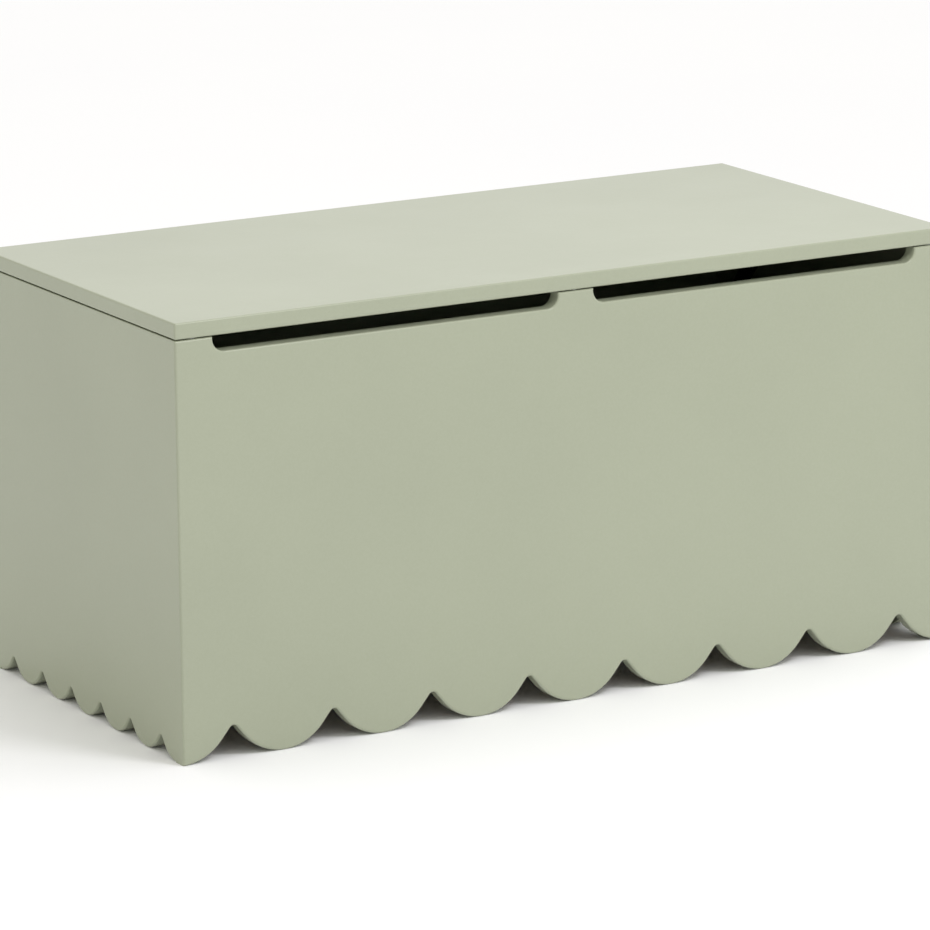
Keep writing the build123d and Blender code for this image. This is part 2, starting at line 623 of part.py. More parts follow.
# ---------------------------------------------------------------- every node
def nodes():
    """Each sub-part by name; a list is a group of identical separate fasteners."""
    parts = {
        "front_panel": front_panel(),
        "back_panel": back_panel(),
        "bottom_panel": bottom_panel(),
        "front_batten": long_batten(-1),
        "back_batten": long_batten(1),
        "lid": lid(),
        "lid_bumpers": lid_bumpers(),
        "corner_dowels": [along_y(dowel(), *place) for place in DOWEL_PLACES],
        "cam_bolts": [along_y(cam_bolt(), *place) for place in CAM_PLACES],
        "cam_locks": [cam_location(*place) * cam() for place in CAM_PLACES],
        "batten_screws": screws(BATTEN_SCREW, BATTEN_SCREWS),
        "bottom_screws": screws(BOTTOM_SCREW, BOTTOM_SCREWS),
        "hinge_fixed_screws": screws(HINGE_SCREW, hinge_screw_places(-1)),
        "hinge_lid_screws": screws(HINGE_SCREW, hinge_screw_places(1)),
        "side_bracket_screws": [],
        "lid_bracket_screws": [],
    }
    for name, side in SIDES.items():
        parts[f"{name}_side_panel"] = side_panel(side)
        parts[f"{name}_batten"] = short_batten(side)
        parts["side_bracket_screws"] += screws(BRACKET_SCREW, side_bracket_screw_places(side))
        parts["lid_bracket_screws"] += screws(BRACKET_SCREW, lid_bracket_screw_places(side))
        parts.update(strut_pieces(name, side))
    for i, x in enumerate(HINGE_XS, start=1):
        parts[f"hinge_{i}_fixed_leaf"] = placed_leaf(x, -1)
        parts[f"hinge_{i}_lid_leaf"] = placed_leaf(x, 1)
        parts[f"hinge_{i}_pin"] = hinge_pin(x)
    return parts


def write(name, shape):
    """Write one node: a single solid, or a group of separate ones."""
    solids = [s for piece in (shape if isinstance(shape, list) else [shape]) for s in piece.solids()]
    result = solids[0] if len(solids) == 1 else Compound(children=solids)
    result.label = name
    export_step(result, f"parts/{name}.step")


os.makedirs("parts", exist_ok=True)
for node_name, node_shape in nodes().items():
    write(node_name, node_shape)
print(f"strut: {SHUT_LENGTH:.2f} shut, {OPEN_LENGTH:.2f} open")
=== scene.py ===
import json
import math

import bmesh
import bpy
import numpy as np
from mathutils import Matrix, Vector


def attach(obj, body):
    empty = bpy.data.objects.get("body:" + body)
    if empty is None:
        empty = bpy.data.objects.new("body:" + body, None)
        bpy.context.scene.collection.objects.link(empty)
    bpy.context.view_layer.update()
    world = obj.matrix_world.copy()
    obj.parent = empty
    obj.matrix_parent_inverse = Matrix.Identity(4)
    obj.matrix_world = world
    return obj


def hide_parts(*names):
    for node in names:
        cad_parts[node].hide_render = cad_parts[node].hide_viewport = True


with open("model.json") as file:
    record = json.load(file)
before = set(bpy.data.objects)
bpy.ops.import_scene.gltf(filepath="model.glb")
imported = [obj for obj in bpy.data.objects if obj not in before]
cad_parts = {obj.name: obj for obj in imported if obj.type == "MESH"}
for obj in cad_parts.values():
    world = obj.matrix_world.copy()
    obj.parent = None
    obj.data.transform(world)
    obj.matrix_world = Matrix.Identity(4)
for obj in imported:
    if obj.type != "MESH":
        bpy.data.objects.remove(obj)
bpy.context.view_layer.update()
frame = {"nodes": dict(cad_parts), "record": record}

bl_info = {
    "name": "Scalloped Toy Box",
    "version": (1, 0, 0),
    "blender": (4, 5, 0),
    "location": "3D View > Sidebar > Toy Box",
    "description": "Finishes the painted toy box: boards, hinges, struts, screws and the stage",
    "category": "Object",
}

PAINTED = ("front_panel", "back_panel", "left_side_panel", "right_side_panel", "lid")
SLOTS = {s["node"]: s["material_slot"] for s in frame["record"]["subparts"]}
BODY_OF = {n: b for b, ns in frame["record"]["behaviour"]["bodies"].items() for n in ns}

# Finishes
WHITE = (1.0, 1.0, 1.0)
BOTTOM_FLATTER = 0.08       # the bottom board's roughness above the panels'
GRAIN_STRETCH = 0.06        # wood pattern's scale along the grain, against 1 across it
BRUSH_STRETCH = 0.03        # the same along brushed lines in metal

# Screws and pads, in metres, degrees and shares
HEAD_SIDES = 40             # facets round a screw's head
SHANK_SIDES = 20            # facets round its shank and point
PAD_SIDES = 48              # facets round a bumper pad
SHANK_SHARE = 0.5           # shank radius, as a share of the head's
CORE_SHARE = 0.78           # the thread's root, as a share of the shank
REACH_SHARE = 0.62          # middle to the end of a recess arm, as a share of the head's radius
RECESS_TAPER = 0.45         # a recess arm at its bottom, as a share of its top
RECESS_OVERCUT = 1.25       # cutter's depth over the recess's, so that it stands above the head
TIP_RADIUS = 0.00005        # radius at the very point
SHORTER = 0.0003            # how far the point stays inside the solid that the screw replaces
HEAD_CREASE = 35            # edges sharper than this stay crisp on a screw
PAD_CREASE = 30             # the same on a pad

# Stage, in metres
FLOOR_REACH = 200.0         # from the middle to the floor's edge
HORIZON_FADE = (0.016, 0.045)   # upward part of a direction where white turns to the dome
KEY_SIZE = 0.5              # across the key light
KEY_PLACE = (0.3, -1.25, 1.75)
KEY_TARGET = (-0.05, -0.2, 0.3)
SENSOR_WIDTH = 36.0         # millimetres
FAR_CLIP = 1000.0


# ---------------------------------------------------------------- node-tree helpers
def new_material(name):
    """A material with its nodes cleared down to a Principled shader and an output."""
    mat = bpy.data.materials.new(name)
    mat.use_nodes = True
    tree = mat.node_tree
    tree.nodes.clear()
    out = tree.nodes.new("ShaderNodeOutputMaterial")
    shader = tree.nodes.new("ShaderNodeBsdfPrincipled")
    tree.links.new(shader.outputs["BSDF"], out.inputs["Surface"])
    return mat, tree, shader


def coordinates(tree, scale=(1, 1, 1)):
    """Object coordinates in metres, scaled along each axis."""
    source = tree.nodes.new("ShaderNodeTexCoord")
    mapping = tree.nodes.new("ShaderNodeMapping")
    mapping.inputs["Scale"].default_value = scale
    tree.links.new(source.outputs["Object"], mapping.inputs["Vector"])
    return mapping.outputs["Vector"]


def noise(tree, vector, scale, detail=3.0, roughness=0.5, distortion=0.0):
    """The grey value of a noise pattern."""
    node = tree.nodes.new("ShaderNodeTexNoise")
    node.inputs["Scale"].default_value = scale
    node.inputs["Detail"].default_value = detail
    node.inputs["Roughness"].default_value = roughness
    node.inputs["Distortion"].default_value = distortion
    tree.links.new(vector, node.inputs["Vector"])
    return node.outputs["Fac"]


def ramp(tree, value, stops):
    """A colour ramp over a grey value; stops are (place, (r, g, b))."""
    node = tree.nodes.new("ShaderNodeValToRGB")
    points = node.color_ramp.elements
    while len(points) < len(stops):
        points.new(0.5)
    for point, (place, colour) in zip(points, stops):
        point.position = place
        point.color = (*colour, 1.0)
    tree.links.new(value, node.inputs["Fac"])
    return node.outputs["Color"]


def remap(tree, value, low, high):
    """A grey value from 0..1 brought to low..high."""
    node = tree.nodes.new("ShaderNodeMapRange")
    node.inputs["To Min"].default_value = low
    node.inputs["To Max"].default_value = high
    tree.links.new(value, node.inputs["Value"])
    return node.outputs["Result"]


def blend_colours(tree, value, first, second, mode="MIX"):
    """Two colours or colour sockets, mixed by a grey value or a fixed share."""
    node = tree.nodes.new("ShaderNodeMix")
    node.data_type = "RGBA"
    node.blend_type = mode
    if isinstance(value, float):
        node.inputs[0].default_value = value
    else:
        tree.links.new(value, node.inputs[0])
    for socket, colour in ((node.inputs[6], first), (node.inputs[7], second)):
        if isinstance(colour, tuple):
            socket.default_value = (*colour, 1.0)
        else:
            tree.links.new(colour, socket)
    return node.outputs[2]


def bump(tree, shader, height, distance, strength, under=None):
    """A bump on the shader's normal, over another bump if there is one."""
    node = tree.nodes.new("ShaderNodeBump")
    node.inputs["Strength"].default_value = strength
    node.inputs["Distance"].default_value = distance
    tree.links.new(height, node.inputs["Height"])
    if under is not None:
        tree.links.new(under, node.inputs["Normal"])
    tree.links.new(node.outputs["Normal"], shader.inputs["Normal"])
    return node.outputs["Normal"]


# ---------------------------------------------------------------- finishes
def sage_paint(name, colour, gloss):
    """Sprayed satin paint on smooth board: faint clouding, fine flecks and orange peel."""
    mat, tree, shader = new_material(name)
    where = coordinates(tree)
    cloud = noise(tree, where, 2.6, detail=4.0, roughness=0.55)
    paler = tuple(min(1.0, c * 1.035) for c in colour)
    deeper = tuple(c * 0.965 for c in colour)
    tone = ramp(tree, cloud, [(0.30, deeper), (0.70, paler)])
    grit = noise(tree, where, 420.0, detail=2.0, roughness=0.6)
    fleck = ramp(tree, grit, [(0.35, (0.975, 0.975, 0.97)), (0.65, WHITE)])
    tree.links.new(blend_colours(tree, 1.0, tone, fleck, "MULTIPLY"), shader.inputs["Base Color"])
    sheen = noise(tree, where, 9.0, detail=3.0, roughness=0.6)
    tree.links.new(remap(tree, sheen, gloss - 0.035, gloss + 0.035), shader.inputs["Roughness"])
    peel = noise(tree, where, 330.0, detail=2.0, roughness=0.45)
    peeled = bump(tree, shader, peel, distance=0.00006, strength=0.55)
    waves = noise(tree, where, 38.0, detail=2.0)
    bump(tree, shader, waves, distance=0.00025, strength=0.35, under=peeled)
    shader.inputs["IOR"].default_value = 1.5
    return mat


def sawn_wood(name, pale, dark, ring, along):
    """Planed wood with growth rings and fine pores running along one axis (0, 1 or 2)."""
    mat, tree, shader = new_material(name)
    stretch = [1.0, 1.0, 1.0]
    stretch[along] = GRAIN_STRETCH
    where = coordinates(tree, tuple(stretch))
    warp = noise(tree, where, 22.0, roughness=0.6, distortion=0.6)
    wave = tree.nodes.new("ShaderNodeTexWave")
    wave.wave_type = "RINGS"
    wave.rings_direction = "XYZ"[along]
    wave.inputs["Scale"].default_value = ring
    wave.inputs["Distortion"].default_value = 5.0
    wave.inputs["Detail"].default_value = 3.0
    tree.links.new(where, wave.inputs["Vector"])
    rings = ramp(tree, wave.outputs["Fac"], [(0.25, pale), (0.85, dark)])
    fibre = noise(tree, where, 600.0, roughness=0.6)
    fibre = ramp(tree, fibre, [(0.3, (0.86, 0.83, 0.78)), (0.7, WHITE)])
    tone = blend_colours(tree, 1.0, rings, fibre, "MULTIPLY")
    tree.links.new(tone, shader.inputs["Base Color"])
    tree.links.new(remap(tree, warp, 0.52, 0.70), shader.inputs["Roughness"])
    bump(tree, shader, noise(tree, where, 900.0, detail=2.0), distance=0.0002, strength=0.5)
    return mat


def metal(name, colour, rough, tint, brushed=None, grain=900.0):
    """Bare or plated metal: clouded tint, brushed along one axis if asked, light pitting."""
    mat, tree, shader = new_material(name)
    stretch = [1.0, 1.0, 1.0]
    if brushed is not None:
        stretch[brushed] = BRUSH_STRETCH
    where = coordinates(tree, tuple(stretch))
    plain = coordinates(tree)
    cloud = noise(tree, plain, 130.0, roughness=0.6)
    tree.links.new(ramp(tree, cloud, [(0.3, colour), (0.72, tint)]), shader.inputs["Base Color"])
    lines = noise(tree, where, grain, roughness=0.6)
    tree.links.new(remap(tree, lines, rough - 0.07, rough + 0.10), shader.inputs["Roughness"])
    bump(tree, shader, lines, distance=0.00004, strength=0.35)
    shader.inputs["Metallic"].default_value = 1.0
    return mat


def coated(name, colour, rough, texture, depth):
    """Powder coat, tube lacquer or moulded plastic: fine texture with a slight mottle."""
    mat, tree, shader = new_material(name)
    where = coordinates(tree)
    mottle = noise(tree, where, 60.0, roughness=0.6)
    paler = tuple(c * 1.25 + 0.004 for c in colour)
    tree.links.new(ramp(tree, mottle, [(0.35, colour), (0.75, paler)]), shader.inputs["Base Color"])
    fine = noise(tree, where, texture, detail=2.0, roughness=0.6)
    tree.links.new(remap(tree, fine, rough - 0.05, rough + 0.07), shader.inputs["Roughness"])
    bump(tree, shader, fine, distance=depth, strength=0.6)
    shader.inputs["IOR"].default_value = 1.5
    return mat


def clear_rubber(name, colour):
    """Soft translucent pad: cloudy, slightly dusty."""
    mat, tree, shader = new_material(name)
    where = coordinates(tree)
    haze = noise(tree, where, 300.0, roughness=0.6)
    darker = tuple(c * 0.9 for c in colour)
    tree.links.new(ramp(tree, haze, [(0.3, darker), (0.7, colour)]), shader.inputs["Base Color"])
    tree.links.new(remap(tree, haze, 0.25, 0.42), shader.inputs["Roughness"])
    shader.inputs["Subsurface Weight"].default_value = 0.25
    shader.inputs["Subsurface Radius"].default_value = (0.002, 0.002, 0.002)
    bump(tree, shader, haze, distance=0.00005, strength=0.3)
    return mat


# ---------------------------------------------------------------- mesh helpers
def finish_node(name, mat):
    """Gives a CAD node its finish."""
    piece = frame["nodes"][name]
    piece.data.materials.clear()
    piece.data.materials.append(mat)


def loose_groups(name):
    """The vertex positions of each separate solid in a CAD node, as arrays."""
    mesh = bmesh.new()
    mesh.from_mesh(frame["nodes"][name].data)
    bmesh.ops.remove_doubles(mesh, verts=mesh.verts, dist=1e-6)
    mesh.verts.ensure_lookup_table()
    seen, groups = set(), []
    for start in mesh.verts:
        if start.index in seen:
            continue
        stack, members = [start], []
        seen.add(start.index)
        while stack:
            vert = stack.pop()
            members.append(vert.co[:])
            for edge in vert.link_edges:
                other = edge.other_vert(vert)
                if other.index not in seen:
                    seen.add(other.index)
                    stack.append(other)
        groups.append(np.array(members))
    mesh.free()
    return groups


def screw_places(name):
    """For each screw of a node: its head's middle, the way it points, head radius and length."""
    places = []
    for points in loose_groups(name):
        low, high = points.min(0), points.max(0)
        axis = int(np.argmax(high - low))
        middle = (low + high) / 2
        away = np.delete(points - middle, axis, 1)
        radius = np.linalg.norm(away, axis=1)
        widest = points[np.argmax(radius), axis]
        head_high = widest > middle[axis]
        head = middle.copy()
        head[axis] = high[axis] if head_high else low[axis]
        way = np.zeros(3)
        way[axis] = -1.0 if head_high else 1.0
        length = float(high[axis] - low[axis])
        places.append((Vector(head), Vector(way), float(radius.max()), length))
    return places


def place_mesh(name, places, rng):
    """One vertex for each place, with a turn that sets local -Z along the place's way.

    Each piece also gets a turn about its own axis, drawn from rng.
    """
    mesh = bpy.data.meshes.new(name)
    mesh.from_pydata([p[0] for p in places], [], [])
    turns = mesh.attributes.new("turn", "FLOAT_VECTOR", "POINT")
    for i, (_, way, _, _) in enumerate(places):
        align = Vector((0, 0, -1)).rotation_difference(way).to_matrix()
        spin = Matrix.Rotation(rng.uniform(0, math.tau), 3, "Z")
        turns.data[i].vector = (align @ spin).to_euler()
    return mesh


# ---------------------------------------------------------------- geometry-nodes helpers
class Tree:
    """A geometry node tree built from named inputs."""

    def __init__(self, name, inputs):
        self.tree = bpy.data.node_groups.new(name, "GeometryNodeTree")
        face = self.tree.interface
        face.new_socket("Places", in_out="INPUT", socket_type="NodeSocketGeometry")
        for label, value in inputs:
            kind = "NodeSocketMaterial" if value is None else "NodeSocketFloat"
            socket = face.new_socket(label, in_out="INPUT", socket_type=kind)
            if value is not None:
                socket.default_value = value
        face.new_socket("Pieces", in_out="OUTPUT", socket_type="NodeSocketGeometry")
        self.source = self.tree.nodes.new("NodeGroupInput")
        self.sink = self.tree.nodes.new("NodeGroupOutput")

    def __getitem__(self, label):
        return self.source.outputs[label]

    def node(self, kind, _props=None, **inputs):
        """A node with its properties, and its inputs by name, set or linked."""
        made = self.tree.nodes.new(kind)
        for key, value in (_props or {}).items():
            setattr(made, key, value)
        for key, value in inputs.items():
            self.plug(made.inputs[key.replace("_", " ")], value)
        return made

    def plug(self, socket, value):
        """Links a socket to a socket, or sets its value."""
        if isinstance(value, bpy.types.NodeSocket):
            self.tree.links.new(value, socket)
        else:
            socket.default_value = value

    def maths(self, operation, first, second):
        """The result of a sum on two values or sockets."""
        made = self.tree.nodes.new("ShaderNodeMath")
        made.operation = operation
        self.plug(made.inputs[0], first)
        self.plug(made.inputs[1], second)
        return made.outputs[0]

    def vector(self, x=0.0, y=0.0, z=0.0):
        """Three values or sockets as one vector."""
        return self.node("ShaderNodeCombineXYZ", X=x, Y=y, Z=z).outputs[0]

    def move(self, geometry, offset=None, turn=None):
        """The geometry shifted, turned or both."""
        made = self.node("GeometryNodeTransform", Geometry=geometry)
        if offset is not None:
            self.plug(made.inputs["Translation"], offset)
        if turn is not None:
            made.inputs["Rotation"].default_value = turn
        return made.outputs[0]

    def join(self, *parts):
        """Several geometries as one."""
        made = self.tree.nodes.new("GeometryNodeJoinGeometry")
        for part in parts:
            self.tree.links.new(part, made.inputs[0])
        return made.outputs[0]

    def finish(self, one):
        """Sets one piece on every place, turned by the stored turn, realised and finished."""
        turn = self.node(
            "GeometryNodeInputNamedAttribute", {"data_type": "FLOAT_VECTOR"}, Name="turn")
        spin = self.node("FunctionNodeEulerToRotation", Euler=turn.outputs[0])
        spread = self.node("GeometryNodeInstanceOnPoints", Points=self["Places"], Instance=one,
                           Rotation=spin.outputs[0])
        real = self.node("GeometryNodeRealizeInstances", Geometry=spread.outputs[0])
        done = self.node("GeometryNodeSetMaterial", Geometry=real.outputs[0],
                         Material=self["Finish"])
        self.tree.links.new(done.outputs[0], self.sink.inputs[0])
        return self.tree


def grow(name, places, tree, values, mat):
    """Runs a tree on its places and returns the plain mesh object."""
    holder = bpy.data.objects.new(name + "_places", places)
    bpy.context.scene.collection.objects.link(holder)
    modifier = holder.modifiers.new("pieces", "NODES")
    modifier.node_group = tree
    for item in tree.interface.items_tree:
        if item.in_out == "INPUT" and item.name in values:
            modifier[item.identifier] = values[item.name]
        if item.in_out == "INPUT" and item.name == "Finish":
            modifier[item.identifier] = mat
    graph = bpy.context.evaluated_depsgraph_get()
    mesh = bpy.data.meshes.new_from_object(holder.evaluated_get(graph), depsgraph=graph)
    holder.modifiers.remove(modifier)
    bpy.data.objects.remove(holder)
    mesh.name = name
    piece = bpy.data.objects.new(name, mesh)
    bpy.context.scene.collection.objects.link(piece)
    return piece


def smooth(piece, angle):
    """Smooth shading, with edges sharper than the angle kept crisp."""
    for face in piece.data.polygons:
        face.use_smooth = True
    piece.data.set_sharp_from_angle(angle=math.radians(angle))


# ---------------------------------------------------------------- trees
def screw_tree():
    """A countersunk screw at every place: chamfered head, cross recess, thread and point.

    Its head's face lies at z = 0 and it points down.
    """
    t = Tree("countersunk_screw", [
        ("Head Radius", 0.0035), ("Shank Radius", 0.0018), ("Length", 0.012), ("Rim", 0.00025),
        ("Chamfer", 0.00012), ("Recess Width", 0.0010), ("Recess Reach", 0.0023),
        ("Recess Depth", 0.0012), ("Thread Pitch", 0.0016), ("Point", 0.0025), ("Finish", None),
    ])
    head, shank, length, rim, edge = (
        t["Head Radius"], t["Shank Radius"], t["Length"], t["Rim"], t["Chamfer"])
    taper = t.maths("SUBTRACT", head, shank)
    core = t.maths("MULTIPLY", shank, CORE_SHARE)
    inner = t.maths("SUBTRACT", head, edge)
    face = t.node("GeometryNodeMeshCylinder", Vertices=HEAD_SIDES, Radius=inner, Depth=rim)
    face = t.move(face.outputs["Mesh"], t.vector(z=t.maths("MULTIPLY", rim, -0.5)))
    wide = t.maths("SUBTRACT", rim, edge)
    disc = t.node("GeometryNodeMeshCylinder", Vertices=HEAD_SIDES, Radius=head, Depth=wide)
    middle = t.maths("MULTIPLY", t.maths("ADD", rim, edge), -0.5)
    disc = t.move(disc.outputs["Mesh"], t.vector(z=middle))
    cone = t.node("GeometryNodeMeshCone", Vertices=HEAD_SIDES, Radius_Top=head,
                  Radius_Bottom=shank, Depth=taper)
    under = t.maths("MULTIPLY", t.maths("ADD", taper, rim), -1.0)
    cone = t.move(cone.outputs["Mesh"], t.vector(z=under))
    solid = t.node("GeometryNodeConvexHull", Geometry=t.join(face, disc, cone)).outputs[0]
    long = t.maths("MULTIPLY", t["Recess Reach"], math.sqrt(2))
    narrow = t.maths("MULTIPLY", t["Recess Width"], math.sqrt(0.5))
    deep = t.maths("MULTIPLY", t["Recess Depth"], RECESS_OVERCUT)
    cut = t.node("GeometryNodeMeshBoolean", {"operation": "DIFFERENCE", "solver": "EXACT"})
    t.tree.links.new(solid, cut.inputs["Mesh 1"])
    for size in (t.vector(long, narrow, deep), t.vector(narrow, long, deep)):
        arm = t.node("GeometryNodeMeshCone", Vertices=4, Radius_Top=1.0,
                     Radius_Bottom=RECESS_TAPER, Depth=1.0)
        arm = t.move(arm.outputs["Mesh"], turn=(0, 0, math.radians(45)))
        arm = t.node("GeometryNodeTransform", Geometry=arm, Scale=size).outputs[0]
        arm = t.move(arm, t.vector(z=t.maths("MULTIPLY", t["Recess Depth"], -1.0)))
        t.tree.links.new(arm, cut.inputs["Mesh 2"])
    foot = t.maths("MULTIPLY", t.maths("SUBTRACT", length, t["Point"]), -1.0)
    body = t.maths("SUBTRACT", under, foot)
    stem = t.node("GeometryNodeMeshCylinder", Vertices=SHANK_SIDES, Radius=core, Depth=body)
    centre = t.maths("MULTIPLY", t.maths("ADD", under, foot), 0.5)
    stem = t.move(stem.outputs["Mesh"], t.vector(z=centre))
    tip = t.node("GeometryNodeMeshCone", Vertices=SHANK_SIDES, Radius_Top=core,
                 Radius_Bottom=TIP_RADIUS, Depth=t["Point"])
    tip = t.move(tip.outputs["Mesh"], t.vector(z=t.maths("MULTIPLY", length, -1.0)))
    turns = t.maths("DIVIDE", body, t["Thread Pitch"])
    path = t.node("GeometryNodeCurveSpiral", Resolution=14, Rotations=turns, Start_Radius=core,
                  End_Radius=core, Height=body)
    crest = t.maths("SUBTRACT", shank, core)
    ridge = t.node("GeometryNodeCurvePrimitiveCircle", Resolution=3, Radius=crest).outputs["Curve"]
    thread = t.node("GeometryNodeCurveToMesh", Curve=path.outputs["Curve"],
                    Profile_Curve=ridge, Fill_Caps=True)
    thread = t.move(thread.outputs["Mesh"], t.vector(z=foot))
    return t.finish(t.join(cut.outputs["Mesh"], stem, tip, thread))


def pad_tree():
    """A low flat pad with chamfered rims at every place."""
    t = Tree("bumper_pad", [
        ("Radius", 0.0045), ("Thickness", 0.001), ("Edge", 0.0004), ("Finish", None)])
    half = t.maths("MULTIPLY", t["Thickness"], 0.5)
    inner = t.maths("SUBTRACT", t["Radius"], t["Edge"])
    wide = t.node("GeometryNodeMeshCylinder", Vertices=PAD_SIDES, Radius=t["Radius"],
                  Depth=t.maths("SUBTRACT", t["Thickness"], t["Edge"]))
    tall = t.node("GeometryNodeMeshCylinder", Vertices=PAD_SIDES, Radius=inner,
                  Depth=t["Thickness"])
    both = t.join(wide.outputs["Mesh"], tall.outputs["Mesh"])
    hull = t.node("GeometryNodeConvexHull", Geometry=both)
    return t.finish(t.move(hull.outputs[0], t.vector(z=t.maths("MULTIPLY", half, -1.0))))


# ---------------------------------------------------------------- settings
class ToyBoxPaint(bpy.types.PropertyGroup):
    """Colours and gloss of the boards"""
    colour: bpy.props.FloatVectorProperty(
        name="Paint", description="Colour of the painted boards", subtype="COLOR",
        size=3, min=0.0, max=1.0, default=(0.350, 0.376, 0.281))
    inside: bpy.props.FloatVectorProperty(
        name="Bottom board", description="Colour of the board inside", subtype="COLOR",
        size=3, min=0.0, max=1.0, default=(0.340, 0.362, 0.265))
    gloss: bpy.props.FloatProperty(
        name="Paint roughness", description="0 is glossy, 1 is flat", min=0.0, max=1.0,
        subtype="FACTOR", default=0.30)


class ToyBoxHardware(bpy.types.PropertyGroup):
    """Small sizes of the screws and pads"""
    recess_width: bpy.props.FloatProperty(
        name="Recess width", description="Width of an arm of the cross recess", unit="LENGTH",
        subtype="DISTANCE", default=0.0010)
    thread_pitch: bpy.props.FloatProperty(
        name="Thread pitch", description="Distance between two turns of a screw's thread",
        unit="LENGTH", subtype="DISTANCE", default=0.0016)
    pad_edge: bpy.props.FloatProperty(
        name="Pad edge", description="Chamfer round the bumper pads", unit="LENGTH",
        subtype="DISTANCE", default=0.0004)
    seed: bpy.props.IntProperty(name="Seed", description="Turns the screws' recesses", default=7)


class ToyBoxStage(bpy.types.PropertyGroup):
    """Camera, floor and light"""
    azimuth: bpy.props.FloatProperty(
        name="Azimuth", description="Camera to the left of the box's front", subtype="ANGLE",
        unit="ROTATION", default=math.radians(29.878))
    elevation: bpy.props.FloatProperty(
        name="Elevation", description="Camera above the horizon", subtype="ANGLE",
        unit="ROTATION", default=math.radians(13.562))
    roll: bpy.props.FloatProperty(
        name="Roll", description="Camera turned about its own axis", subtype="ANGLE",
        unit="ROTATION", default=math.radians(-0.502))
    distance: bpy.props.FloatProperty(
        name="Distance", description="Camera to the aim", unit="LENGTH", default=5.3306)
    aim: bpy.props.FloatVectorProperty(
        name="Aim", description="Point in the middle of the view", subtype="TRANSLATION",
        size=3, default=(-0.0058, -0.0049, 0.1868))
    lens: bpy.props.FloatProperty(
        name="Focal length", description="In millimetres, on a 36 mm sensor", unit="CAMERA",
        default=215.08)
    floor: bpy.props.FloatVectorProperty(
        name="Floor", description="Colour of the floor", subtype="COLOR", size=3, min=0.0,
        max=1.0, default=(0.955, 0.955, 0.995))
    dome_left: bpy.props.FloatVectorProperty(
        name="Dome, left", description="Light that comes from the left", subtype="COLOR",
        size=3, min=0.0, max=4.0, default=(0.74, 0.725, 0.63))
    dome_right: bpy.props.FloatVectorProperty(
        name="Dome, right", description="Light that comes from the right", subtype="COLOR",
        size=3, min=0.0, max=4.0, default=(1.30, 1.30, 1.30))
    horizon: bpy.props.FloatVectorProperty(
        name="Horizon", description="Backdrop where the floor ends", subtype="COLOR",
        size=3, min=0.0, max=1.0, default=WHITE)
    key: bpy.props.FloatProperty(
        name="Key light", description="Power of the soft light over the front", unit="POWER",
        min=0.0, default=10.8)


GROUPS = (ToyBoxPaint, ToyBoxHardware, ToyBoxStage)


# ---------------------------------------------------------------- operators
class TOYBOX_OT_boards(bpy.types.Operator):
    """Paint the four panels, the lid and the bottom board"""
    bl_idname = "toybox.boards"
    bl_label = "Paint the boards"

    def execute(self, context):
        look = context.scene.toybox_paint
        paint = sage_paint("sage_satin_paint", tuple(look.colour), look.gloss)
        for name in PAINTED:
            finish_node(name, paint)
        flatter = look.gloss + BOTTOM_FLATTER
        finish_node("bottom_panel", sage_paint("bottom_board_paint", tuple(look.inside), flatter))
        return {"FINISHED"}


class TOYBOX_OT_timber(bpy.types.Operator):
    """Finish the battens and dowels as bare wood"""
    bl_idname = "toybox.timber"
    bl_label = "Finish the battens and dowels"

    def execute(self, context):
        pine = ((0.62, 0.42, 0.22), (0.46, 0.27, 0.11))
        beech = ((0.56, 0.36, 0.20), (0.43, 0.25, 0.13))
        across = sawn_wood("pine_along_width", *pine, ring=90.0, along=0)
        deep = sawn_wood("pine_along_depth", *pine, ring=90.0, along=1)
        for name in ("front_batten", "back_batten"):
            finish_node(name, across)
        for name in ("left_batten", "right_batten"):
            finish_node(name, deep)
        finish_node("corner_dowels", sawn_wood("beech_dowel", *beech, ring=160.0, along=1))
        return {"FINISHED"}


class TOYBOX_OT_fittings(bpy.types.Operator):
    """Finish the hinges, cams and bolts"""
    bl_idname = "toybox.fittings"
    bl_label = "Finish the hinges, cams and bolts"

    def execute(self, context):
        plated = metal(
            "zinc_plated_leaf", (0.43, 0.43, 0.42), 0.30, (0.52, 0.515, 0.49), brushed=0)
        pin = metal(
            "polished_pin", (0.62, 0.61, 0.58), 0.22, (0.70, 0.69, 0.66), brushed=0, grain=1500.0)
        cast = metal("cast_zinc", (0.42, 0.43, 0.44), 0.45, (0.52, 0.52, 0.53), grain=500.0)
        for name, slot in SLOTS.items():
            if slot == "hinge_steel":
                finish_node(name, pin if name.endswith("_pin") else plated)
            elif slot == "zinc":
                finish_node(name, cast)
            elif name == "cam_bolts":
                finish_node(name, plated)
        return {"FINISHED"}


class TOYBOX_OT_struts(bpy.types.Operator):
    """Finish the gas struts, their ball joints and brackets"""
    bl_idname = "toybox.struts"
    bl_label = "Finish the gas struts"

    def execute(self, context):
        looks = {
            "bracket_steel": coated(
                "black_powder_coat", (0.018, 0.018, 0.020), 0.48, texture=1400.0, depth=0.00006),
            "strut_black": coated(
                "tube_lacquer", (0.010, 0.010, 0.011), 0.24, texture=500.0, depth=0.00002),
            "strut_plastic": coated(
                "black_nylon", (0.014, 0.014, 0.014), 0.55, texture=2200.0, depth=0.00004),
            "strut_chrome": metal(
                "hard_chrome", (0.60, 0.60, 0.62), 0.12, (0.68, 0.68, 0.70), grain=1200.0),
        }
        for name, slot in SLOTS.items():
            if slot in looks:
                finish_node(name, looks[slot])
        return {"FINISHED"}


